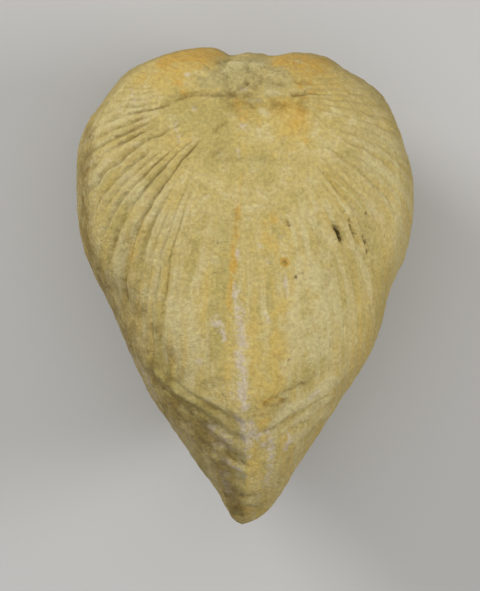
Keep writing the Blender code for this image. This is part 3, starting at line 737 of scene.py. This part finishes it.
def ring_of_points(bearings, shares, past_shoulder, on_back):
    """One ring: its points and, for each, the fields that the relief and the colours read."""
    x, y = on_growth_line(bearings, shares)
    phase, depth = groove_fields(bearings, shares, on_back)
    none = np.zeros_like(x)
    across = STREAK_MM_PER_DEGREE * line_bearing(bearings, READING_SHARE)
    along = edge_radius(bearings) * (2.0 - shares if on_back else shares)
    growth = np.stack([across, along, none], axis=1) * MM
    fields = {"ridge_phase": phase, "ridge_depth": depth, "growth_line": growth}
    # The rim darkens towards the edge: brown film, and painted shade where the sides turn from the
    # lamps.
    fields["rim"] = smooth_step(shares, *RIM_FILM_AND_SHADE_STARTS)
    z = back_height(x, y) if on_back else front_height(x, y)
    fade = smooth_step(z, *MARKS_FADE_Z)
    fields |= {name: fade * mark_strength(x, y, marks) for name, marks in STAINS_AND_PAINTED_LIGHT.items()}
    down = np.sin(2.0 * math.pi * (z - EQUATOR_Z) / END_WANDER_PERIOD)
    wander = END_WANDER * down * smooth_step(y, *END_WANDER_STARTS_Y)
    points = np.stack([x + wander, y, z], axis=1)
    if on_back:
        middle = 1.0 - smooth_step(np.abs(across), 0.0, SEAM_HALF_WIDTH)
        fields["carved"] = -SEAM_DEPTH * middle * smooth_step(shares, *SEAM_STARTS)
        fields |= {"fold_phase": none, "fold_depth": none}
        return points, fields
    beside = smooth_step(np.abs(bearings), *FOLDS_FADE)
    fold_depth = (1.0 - beside) * (1.0 - smooth_step(past_shoulder, *FOLDS_WEAR_OUT))
    fields["carved"] = carved_height(x, y)
    fields["fold_phase"] = none + past_shoulder / FOLD_SPACING
    fields["fold_depth"] = fold_depth * (np.asarray(past_shoulder) > 0.0)
    return points, fields


def stone_rings():
    """Every ring from the front pole to the back pole, and the number of spokes."""
    bearings = spoke_bearings()
    shoulder = shoulder_share(bearings)
    rings = [ring_of_points(np.zeros(1), np.zeros(1), 0.0, False)]
    for part in np.linspace(0.0, 1.0, FACE_RINGS + 1)[1:]:
        rings.append(ring_of_points(bearings, part * shoulder, 0.0, False))
    beside = smooth_step(np.abs(bearings), *CROWDING_STARTS)
    crowding = FACET_CROWDING + (RIM_CROWDING - FACET_CROWDING) * beside
    for step in np.linspace(0.0, 1.0, RIM_RINGS + 1)[1:]:
        part = 1.0 - (1.0 - step) ** crowding
        rings.append(ring_of_points(bearings, shoulder + part * (1.0 - shoulder), part, False))
    for step in np.linspace(0.0, 1.0, BACK_RINGS + 2)[1:-1]:
        shares = np.full_like(bearings, 1.0 - step**BACK_CROWDING)
        rings.append(ring_of_points(bearings, shares, 0.0, True))
    rings.append(ring_of_points(np.zeros(1), np.zeros(1), 0.0, True))
    return rings, len(bearings)


def fitted(points):
    """The points in metres, scaled to fill the CAD solid's box."""
    low, high = (np.array(corner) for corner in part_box(NODE))
    least, most = points.min(axis=0), points.max(axis=0)
    return low + (points - least) * (high - low) / (most - least)


def ring_faces(point_count, ring_size):
    """Quads between neighbouring rings, and a fan of triangles round each pole."""
    ring_count = (point_count - 2) // ring_size
    last = point_count - 1
    faces = []
    for spoke in range(ring_size):
        beside = (spoke + 1) % ring_size
        faces.append((0, 1 + spoke, 1 + beside))
        for ring in range(ring_count - 1):
            inner = 1 + ring * ring_size
            outer = inner + ring_size
            faces.append((inner + spoke, outer + spoke, outer + beside, inner + beside))
        final = 1 + (ring_count - 1) * ring_size
        faces.append((last, final + beside, final + spoke))
    return faces


def smooth_form():
    """The stone without its relief, with a named attribute for each field."""
    rings, ring_size = stone_rings()
    points = fitted(np.concatenate([ring for ring, _ in rings]))
    mesh = bpy.data.meshes.new("smooth_form")
    mesh.from_pydata(points.tolist(), [], ring_faces(len(points), ring_size))
    for name in rings[0][1]:
        values = np.concatenate([fields[name] for _, fields in rings])
        kind, key = ("FLOAT_VECTOR", "vector") if values.ndim == 2 else ("FLOAT", "value")
        layer = mesh.attributes.new(name, kind, "POINT")
        layer.data.foreach_set(key, values.astype(np.float32).ravel())
    form = bpy.data.objects.new("smooth_form", mesh)
    bpy.context.scene.collection.objects.link(form)
    return form


def add(tree, kind, inputs=(), **settings):
    """Adds a node and gives its outputs.

    Inputs, in order or by key, are values, or sockets to link. Settings are the node's properties.
    """
    node = tree.nodes.new(kind)
    for name, value in settings.items():
        setattr(node, name, value)
    for name, value in inputs.items() if isinstance(inputs, dict) else enumerate(inputs):
        if isinstance(value, bpy.types.NodeSocket):
            tree.links.new(value, node.inputs[name])
        else:
            node.inputs[name].default_value = value
    return node.outputs


def relief_tree(numbers):
    """The node tree that raises the growth ridges, folds, marks and grain from the smooth form.

    Its inputs are the smooth form, the numbers with these names, and the material.
    """
    tree = bpy.data.node_groups.new("growth_relief", "GeometryNodeTree")
    inputs = {"Geometry": "NodeSocketGeometry"} | dict.fromkeys(numbers, "NodeSocketFloat")
    for name, kind in (inputs | {"Stone": "NodeSocketMaterial"}).items():
        tree.interface.new_socket(name, in_out="INPUT", socket_type=kind)
    tree.interface.new_socket("Geometry", in_out="OUTPUT", socket_type="NodeSocketGeometry")
    given = add(tree, "NodeGroupInput")
    position = add(tree, "GeometryNodeInputPosition")[0]
    normal = add(tree, "GeometryNodeInputNormal")[0]
    # Sockets that later nodes link to, by name.
    known = {name: given[name] for name in numbers}
    read = "GeometryNodeInputNamedAttribute"
    for name in ("ridge_phase", "ridge_depth", "fold_phase", "fold_depth", "carved", "matrix"):
        known[name] = add(tree, read, {"Name": name}, data_type="FLOAT")[0]
    growth = add(tree, read, {"Name": "growth_line"}, data_type="FLOAT_VECTOR")[0]
    stretch = (growth, (1.0, THREAD_STRETCH, 1.0))
    drawn_out = add(tree, "ShaderNodeVectorMath", stretch, operation="MULTIPLY")[0]

    # Noises about zero: size, detail, what is added to the seed, and what they run along.
    for name, size, detail, shift, along in (
        ("waver", 2.8 * MM, 4.0, 1.0, position),
        ("opening", 2.2 * MM, 2.0, 5.0, position),
        ("bend", 4.0 * MM, 2.0, 9.0, position),
        ("lumps", given["Lump Size"], 3.0, 13.0, position),
        ("grain", given["Grain Size"], 2.0, 17.0, position),
        ("threads", given["Thread Width"], 3.0, 21.0, drawn_out),
    ):
        scale = add(tree, "ShaderNodeMath", (1.0, size), operation="DIVIDE")[0]
        seed = add(tree, "ShaderNodeMath", (given["Seed"], shift), operation="ADD")[0]
        links = {"Vector": along, "W": seed, "Scale": scale, "Detail": detail}
        noise = add(tree, "ShaderNodeTexNoise", links, noise_dimensions="4D")[0]
        known[name] = add(tree, "ShaderNodeMath", (noise, 0.5), operation="SUBTRACT")[0]

    # Threads start a little way out from the hinge, and the rest patch stays flat on the surface that
    # the stone lies on.
    for name, vector, axis, low, high in (
        ("threads_begun", growth, "Y", 6.0 * MM, 12.0 * MM),
        ("off_the_floor", position, "Z", 0.1 * MM, 1.5 * MM),
    ):
        reach = add(tree, "ShaderNodeSeparateXYZ", (vector,))[axis]
        links = {"Value": reach, "From Min": low, "From Max": high}
        known[name] = add(tree, "ShaderNodeMapRange", links, interpolation_type="SMOOTHSTEP")[0]

    # Each step names its result, the operation, and the numbers or earlier results that go in.
    steps = (
        # Ridges: rounded crests at the skin, with narrow grooves that waver and open and close.
        ("ridge_at", "MULTIPLY_ADD", "waver", "Waver", "ridge_phase"),
        ("wave", "MULTIPLY", "ridge_at", math.pi),
        ("wave", "SINE", "wave"),
        ("wave", "ABSOLUTE", "wave"),
        ("crest", "POWER", "wave", CREST_ROUNDNESS),
        ("groove", "SUBTRACT", 1.0, "crest"),
        ("opening", "MULTIPLY_ADD", "opening", OPENING_CHANGE, 1.0),
        ("groove_cut", "MULTIPLY", "ridge_depth", "opening"),
        ("ridges", "MULTIPLY", "groove", "groove_cut"),
        ("ridges", "MULTIPLY", "ridges", "Ridge Height"),
        # Folds: wide dents below the shoulder.
        ("bend", "MULTIPLY_ADD", "bend", FOLD_BEND, "fold_phase"),
        ("fold", "MULTIPLY", "bend", math.pi),
        ("fold", "SINE", "fold"),
        ("fold", "MULTIPLY", "fold", "fold"),
        ("fold", "MULTIPLY", "fold", "fold_depth"),
        ("below", "MULTIPLY_ADD", "fold", "Fold Height", "ridges"),
        # Threads: fine ribs along the growth lines, many times longer than wide, but for the matrix.
        ("bare", "SUBTRACT", 1.0, "matrix"),
        ("bare", "MAXIMUM", "bare", 0.0),
        ("threads", "MULTIPLY", "threads", "bare"),
        ("threads", "MULTIPLY", "threads", "threads_begun"),
        # Worn lumps, marks, and grain that stands higher on the matrix.
        ("lumps", "MULTIPLY", "lumps", "Lump Height"),
        ("above", "MULTIPLY_ADD", "carved", MM, "lumps"),
        ("grain", "MULTIPLY", "grain", "Grain Height"),
        ("higher", "MULTIPLY_ADD", "matrix", MATRIX_ROUGHER, 1.0),
        ("grain", "MULTIPLY", "grain", "higher"),
        ("fine", "MULTIPLY_ADD", "threads", "Thread Height", "grain"),
        ("raised", "SUBTRACT", "above", "below"),
        ("raised", "ADD", "raised", "fine"),
        ("raised", "MULTIPLY", "raised", "off_the_floor"),
    )
    for name, operation, *terms in steps:
        links = [known.get(term, term) for term in terms]
        known[name] = add(tree, "ShaderNodeMath", links, operation=operation)[0]

    links = {0: normal, "Scale": known["raised"]}
    offset = add(tree, "ShaderNodeVectorMath", links, operation="SCALE")[0]
    links = {"Geometry": given["Geometry"], "Offset": offset}
    made = add(tree, "GeometryNodeSetPosition", links)[0]
    # The material needs to know where the grooves have come to lie.
    store = "GeometryNodeStoreNamedAttribute"
    for name in ("ridge_at", "groove_cut"):
        links = {"Geometry": made, "Name": name, "Value": known[name]}
        made = add(tree, store, links, data_type="FLOAT", domain="POINT")[0]
    made = add(tree, "GeometryNodeRealizeInstances", (made,))[0]
    made = add(tree, "GeometryNodeSetMaterial", {"Geometry": made, "Material": given["Stone"]})[0]
    add(tree, "NodeGroupOutput", (made,))
    return tree


def linear(hex_colour):
    """An sRGB hex colour as linear RGBA."""
    parts = [int(hex_colour[i : i + 2], 16) / 255.0 for i in (0, 2, 4)]
    return (*(p / 12.92 if p <= 0.04045 else ((p + 0.055) / 1.055) ** 2.4 for p in parts), 1.0)


def limestone(colours):
    """Weathered shelly limestone, never polished: chalky, matt and grainy.

    The eye gets cream-yellow stone, blotched and streaked along the growth lines, with iron stains,
    veins of white calcite, brown film in the grooves and dirt in every pit. Brown is also painted shade,
    in the grooves, round the rim and in some strokes, and pale is painted light in others.
    """
    material = bpy.data.materials.new("weathered_limestone")
    material.use_nodes = True
    material.diffuse_color = colours["cream"]
    tree = material.node_tree
    shader = tree.nodes["Principled BSDF"].inputs
    place = add(tree, "ShaderNodeTexCoord")["Object"]
    growth = add(tree, "ShaderNodeAttribute", attribute_name="growth_line")["Vector"]
    stretch = {"Vector": growth, "Scale": (1.0, STREAK_STRETCH, 1.0)}
    drawn_out = add(tree, "ShaderNodeMapping", stretch)[0]
    # Sockets that later nodes link to, by name.
    known = {"reach": add(tree, "ShaderNodeSeparateXYZ", (growth,))["Y"]}
    for name in ("ridge_at", "groove_cut", "rim", *STAINS_AND_PAINTED_LIGHT):
        known[name] = add(tree, "ShaderNodeAttribute", attribute_name=name)["Fac"]

    # Noises: size in millimetres, detail, roughness, and what they run along.
    for name, size_mm, detail, roughness, along in (
        ("blotches", 1.2, 6.0, 0.70, place),
        ("tinge", 4.5, 4.0, 0.55, place),
        ("bands", 1.6, 3.0, 0.55, drawn_out),
        ("streaks", 0.6, 4.0, 0.55, drawn_out),
        ("broad_patches", 1.1, 5.0, 0.65, place),
        ("fine_patches", 0.45, 5.0, 0.65, place),
        ("specks", 0.6, 4.0, 0.55, place),
        ("grains", 0.28, 3.0, 0.55, place),
        ("pits", 0.55, 6.0, 0.70, place),
        ("sand", 0.2, 3.0, 0.55, place),
    ):
        links = {"Vector": along, "Scale": 1.0 / (size_mm * MM), "Detail": detail}
        known[name] = add(tree, "ShaderNodeTexNoise", links | {"Roughness": roughness})[0]

    # Stains, and the painted light and shade among them, are patchy. Their strength is multiplied by a
    # patch, from the least to as far above one.
    for name, least in (("broad_patches", 0.35), ("fine_patches", 0.0)):
        links = {"Value": known[name], "From Min": 0.34, "From Max": 0.66}
        links |= {"To Min": least, "To Max": 2.0 - least}
        known[name] = add(tree, "ShaderNodeMapRange", links)[0]

    # Each step names its result, the operation, and the numbers or earlier results that go in.
    broad, thin = ("yellow", "ochre", "matrix", "pale", "brown"), ("calcite", "dirt")
    steps = [(name, "MULTIPLY", name, "broad_patches") for name in broad]
    steps += [(name, "MULTIPLY", name, "fine_patches") for name in thin]
    # Lines in the grooves, and fainter ones midway between them.
    for line, per_ridge in (("line", 1), ("line_between", 2)):
        steps += [
            ("wave", "MULTIPLY", "ridge_at", per_ridge * math.pi),
            ("wave", "SINE", "wave"),
            ("wave", "ABSOLUTE", "wave"),
            ("wave", "POWER", "wave", CREST_ROUNDNESS),
            (line, "SUBTRACT", 1.0, "wave"),
            (line, "MULTIPLY", line, "groove_cut"),
        ]
    steps += [
        ("line_between", "MULTIPLY", "line_between", LINE_BETWEEN_STRENGTH),
        ("grooves", "ADD", "line", "line_between"),
    ]
    for name, operation, *terms in steps:
        links = [known.get(term, term) for term in terms]
        known[name] = add(tree, "ShaderNodeMath", links, operation=operation)[0]

    paints = dict(colours)
    covers = {}

    def painted(colour, *layers):
        """Paints layers over a colour, in order.

        A layer follows a value. It says where that starts to show and where it shows in full, what share
        it then covers, and with which paint.
        """
        for name, starts, full, share, paint in layers:
            links = {"Value": known[name], "From Min": starts, "From Max": full, "To Max": share}
            covers[name] = add(tree, "ShaderNodeMapRange", links, interpolation_type="SMOOTHSTEP")[0]
            links = {0: covers[name], 6: colour, 7: paints[paint]}
            colour = add(tree, "ShaderNodeMix", links, data_type="RGBA")[2]
        return colour

    # Blotches a millimetre or more across: leached and chalky, or tinged with clay or iron.
    ground = painted(
        paints["cream"],
        ("blotches", 0.50, 0.64, 0.85, "pale"),
        ("blotches", 0.47, 0.34, 0.85, "olive"),
        ("tinge", 0.50, 0.68, 0.45, "yellow"),
    )
    # Streaks follow the growth lines, many times longer than wide: broad ones, and fine ones on them.
    paints["streaked"] = painted(
        ground,
        ("bands", 0.50, 0.64, 0.6, "pale"),
        ("bands", 0.48, 0.38, 0.5, "olive"),
        ("streaks", 0.52, 0.66, 0.6, "yellow"),
        ("streaks", 0.48, 0.36, 0.7, "pale"),
    )
    colour = painted(
        ground,
        ("reach", 7.0 * MM, 14.0 * MM, 1.0, "streaked"),
        ("olive", 0.0, 1.0, 0.8, "olive"),
        ("yellow", 0.10, 1.10, 0.9, "yellow"),
        ("ochre", 0.15, 1.20, 0.85, "ochre"),
        ("matrix", 0.30, 0.80, 0.8, "matrix"),
        ("pale", 0.10, 1.00, 0.85, "pale"),
        ("calcite", 0.20, 0.95, 0.85, "calcite"),
        # Brown in the grooves and round the rim: brown film, and painted shade in the hollows and where
        # the sides turn from the lamps. The brown strokes: film in the folds and cracks, and painted
        # shade in some.
        ("grooves", 0.15, 1.20, 0.42, "brown"),
        ("rim", 0.0, 1.0, 0.4, "brown"),
        ("brown", 0.10, 1.10, 0.8, "brown"),
        ("dirt", 0.20, 0.80, 0.9, "dirt"),
        ("specks", 0.67, 0.75, 0.5, "brown"),
    )
    # Each grain is a little lighter or darker than the next.
    links = {0: GRAIN_CONTRAST, 6: colour, 7: known["grains"]}
    colour = add(tree, "ShaderNodeMix", links, data_type="RGBA", blend_type="OVERLAY")[2]
    # Chalky stone is quite matt, and calcite a little less so.
    links = {"Value": covers["calcite"], "To Min": STONE_ROUGHNESS, "To Max": CALCITE_ROUGHNESS}
    roughness = add(tree, "ShaderNodeMapRange", links)[0]

    # Crisp groove lines, and a sandy skin: grains of about 0.2 mm over pits of about 0.5 mm. Each has a
    # direction, a strength and a depth in millimetres.
    links = {}
    for name, inward, strength, depth_mm in (
        ("grooves", True, 1.0, 0.08),
        ("pits", False, 1.0, 0.30),
        ("sand", False, 0.5, 0.07),
    ):
        links |= {"Strength": strength, "Distance": depth_mm * MM, "Height": known[name]}
        links["Normal"] = add(tree, "ShaderNodeBump", links, invert=inward)[0]

    sources = {"Base Color": colour, "Roughness": roughness, "Normal": links["Normal"]}
    for name, source in sources.items():
        tree.links.new(source, shader[name])
    shader["Metallic"].default_value = 0.0
    shader["IOR"].default_value = CALCITE_IOR
    return material


def plain_mesh(form, name):
    """The evaluated result of the form's node tree, as a plain object. The form is removed."""
    graph = bpy.context.evaluated_depsgraph_get()
    mesh = bpy.data.meshes.new_from_object(
        form.evaluated_get(graph), preserve_all_data_layers=True, depsgraph=graph
    )
    mesh.name = name
    piece = bpy.data.objects.new(name, mesh)
    bpy.context.scene.collection.objects.link(piece)
    bpy.data.objects.remove(form)
    return piece


def length(name, description, default_mm):
    """A length property, given in millimetres."""
    return bpy.props.FloatProperty(
        name=name,
        description=description,
        default=default_mm * MM,
        min=0.0,
        subtype="DISTANCE",
        unit="LENGTH",
        precision=5,
    )


def power(name, description, default_watts):
    """A lamp's power property, in watts."""
    return bpy.props.FloatProperty(
        name=name, description=description, default=default_watts, min=0.0, unit="POWER"
    )


def tint(name, description, hex_colour):
    """A colour property, given as sRGB hex."""
    return bpy.props.FloatVectorProperty(
        name=name,
        description=description,
        default=linear(hex_colour),
        size=4,
        min=0.0,
        max=1.0,
        subtype="COLOR",
    )


class FossilReliefSettings(bpy.types.PropertyGroup):
    """Sizes of the stone's relief."""

    ridge_height: length("Ridge Height", "Depth of the deepest growth groove", 0.38)
    fold_height: length("Fold Height", "Depth of the folds below the shoulder", 0.20)
    lump_height: length("Lump Height", "Height of the worn lumps", 0.30)
    lump_size: length("Lump Size", "Width of the worn lumps", 3.0)
    grain_height: length("Grain Height", "Height of the coarse grain", 0.30)
    grain_size: length("Grain Size", "Width of the coarse grain", 0.8)
    thread_height: length("Thread Height", "Height of the fine ribs along the growth lines", 0.10)
    thread_width: length("Thread Width", "Width of the fine ribs along the growth lines", 0.45)
    waver: bpy.props.FloatProperty(
        name="Waver",
        description="How far a growth groove strays, in ridges",
        default=1.1,
        min=0.0,
    )
    seed: bpy.props.IntProperty(name="Seed", description="Seed of the noise", default=3)


class FossilColourSettings(bpy.types.PropertyGroup):
    """Colours of the limestone."""

    cream: tint("Cream", "Bare limestone", "C3AE6B")
    # Pale is also painted light on some crests and where the face turns to the upper-left lamp.
    pale: tint("Pale", "Chalky, leached limestone", "CFC08A")
    olive: tint("Olive", "Limestone tinged with clay", "B0A05A")
    yellow: tint("Yellow", "Limestone tinged with iron", "CCAF5E")
    ochre: tint("Ochre", "Iron stain on the umbones", "CAA042")
    # Brown is also painted shade: in the grooves, round the rim, and in some strokes.
    brown: tint("Brown", "Film in the grooves and round the rim", "836C30")
    matrix: tint("Matrix", "Grey-cream sediment between the umbones", "B5A66E")
    calcite: tint("Calcite", "White calcite of the veins", "CABAA0")
    dirt: tint("Dirt", "Dirt in the pits", "5A481C")


class FossilStageSettings(bpy.types.PropertyGroup):
    """Floor, lamps and camera."""

    floor: tint("Floor", "Colour of the plain floor", "B9B8B6")
    right_power: power("Right Lamp", "Power of the low lamp on the right", 0.52)
    left_power: power("Left Lamp", "Power of the low lamp at the upper left", 0.70)
    overhead_power: power("Overhead Lamp", "Power of the wide lamp overhead", 1.3)
    sky_strength: bpy.props.FloatProperty(
        name="Sky Strength",
        description="Brightness of the even sky",
        default=0.25,
        min=0.0,
    )
    camera_height: length("Camera Height", "Height of the lens above the floor", 450.0)


class FOSSIL_OT_stone(bpy.types.Operator):
    """Make the limestone stone and put it in place of the CAD solid"""

    bl_idname = "fossil.stone"
    bl_label = "Make Stone"

    def execute(self, context):
        scene = context.scene
        relief = scene.fossil_relief
        colours = scene.fossil_colours
        tints = FossilColourSettings.__annotations__
        stone = limestone({name: tuple(getattr(colours, name)) for name in tints})
        # The tree's inputs are called what the settings are called in the panel.
        sizes = FossilReliefSettings.__annotations__
        values = {name.replace("_", " ").title(): float(getattr(relief, name)) for name in sizes}
        tree = relief_tree(list(values))
        form = smooth_form()
        modifier = form.modifiers.new("growth_relief", "NODES")
        modifier.node_group = tree
        values["Stone"] = stone
        for item in tree.interface.items_tree:
            if item.in_out == "INPUT" and item.name in values:
                modifier[item.identifier] = values[item.name]
        piece = plain_mesh(form, "limestone_stone")
        if not piece.data.polygons:
            raise RuntimeError("the relief tree gave no faces")
        piece.data.shade_smooth()
        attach(piece, BODY)
        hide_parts(NODE)
        return {"FINISHED"}


class FOSSIL_OT_stage(bpy.types.Operator):
    """Make the floor, the three soft lamps, the even sky and the camera"""

    bl_idname = "fossil.stage"
    bl_label = "Make Stage"

    def execute(self, context):
        scene = context.scene
        settings = scene.fossil_stage
        mesh = bpy.data.meshes.new("floor")
        mesh.from_pydata([(-1, -1, 0), (1, -1, 0), (1, 1, 0), (-1, 1, 0)], [], [(0, 1, 2, 3)])
        floor = bpy.data.objects.new("floor", mesh)
        scene.collection.objects.link(floor)
        # Matt paper: pale, even and without gloss, so that the stone's shadow reads softly.
        paper = bpy.data.materials.new("matt_paper")
        paper.use_nodes = True
        shader = paper.node_tree.nodes["Principled BSDF"]
        shader.inputs["Base Color"].default_value = tuple(settings.floor)
        shader.inputs["Roughness"].default_value = PAPER_ROUGHNESS
        mesh.materials.append(paper)

        for name, place, size, setting in LAMPS:
            lamp = bpy.data.lights.new(name, "AREA")
            lamp.size = size
            lamp.energy = getattr(settings, setting)
            lamp_object = bpy.data.objects.new(name, lamp)
            scene.collection.objects.link(lamp_object)
            lamp_object.location = place
            lamp_object.rotation_euler = lamp_object.location.to_track_quat("Z", "Y").to_euler()

        world = bpy.data.worlds.new("even_sky")
        world.use_nodes = True
        world.node_tree.nodes["Background"].inputs["Color"].default_value = (1.0, 1.0, 1.0, 1.0)
        world.node_tree.nodes["Background"].inputs["Strength"].default_value = settings.sky_strength
        scene.world = world
        scene.view_settings.view_transform = "Standard"

        camera = bpy.data.cameras.new("camera")
        camera.sensor_width = SENSOR_WIDTH
        camera.lens = SENSOR_WIDTH * settings.camera_height / (FLOOR_IN_VIEW * MM)
        camera.clip_start = CLIP_START * MM
        camera_object = bpy.data.objects.new("camera", camera)
        scene.collection.objects.link(camera_object)
        camera_object.location = (LENS_X * MM, LENS_Y * MM, settings.camera_height)
        scene.camera = camera_object
        return {"FINISHED"}


class FOSSIL_PT_panel(bpy.types.Panel):
    """Fossil bivalve settings and steps"""

    bl_idname = "FOSSIL_PT_panel"
    bl_label = "Fossil Bivalve"
    bl_space_type = "VIEW_3D"
    bl_region_type = "UI"
    bl_category = "Fossil"

    def draw(self, context):
        layout = self.layout
        scene = context.scene
        for settings in (scene.fossil_relief, scene.fossil_colours, scene.fossil_stage):
            box = layout.box()
            for name in type(settings).__annotations__:
                box.prop(settings, name)
        layout.operator(FOSSIL_OT_stone.bl_idname)
        layout.operator(FOSSIL_OT_stage.bl_idname)


CLASSES = (
    FossilReliefSettings,
    FossilColourSettings,
    FossilStageSettings,
    FOSSIL_OT_stone,
    FOSSIL_OT_stage,
    FOSSIL_PT_panel,
)
SETTINGS = {
    "fossil_relief": FossilReliefSettings,
    "fossil_colours": FossilColourSettings,
    "fossil_stage": FossilStageSettings,
}


def register():
    for item in CLASSES:
        bpy.utils.register_class(item)
    for name, kind in SETTINGS.items():
        setattr(bpy.types.Scene, name, bpy.props.PointerProperty(type=kind))


def unregister():
    for name in SETTINGS:
        delattr(bpy.types.Scene, name)
    for item in reversed(CLASSES):
        bpy.utils.unregister_class(item)


def main():
    register()
    bpy.ops.fossil.stage()
    bpy.ops.fossil.stone()
    bpy.context.view_layer.update()


if __name__ == "__main__":
    main()
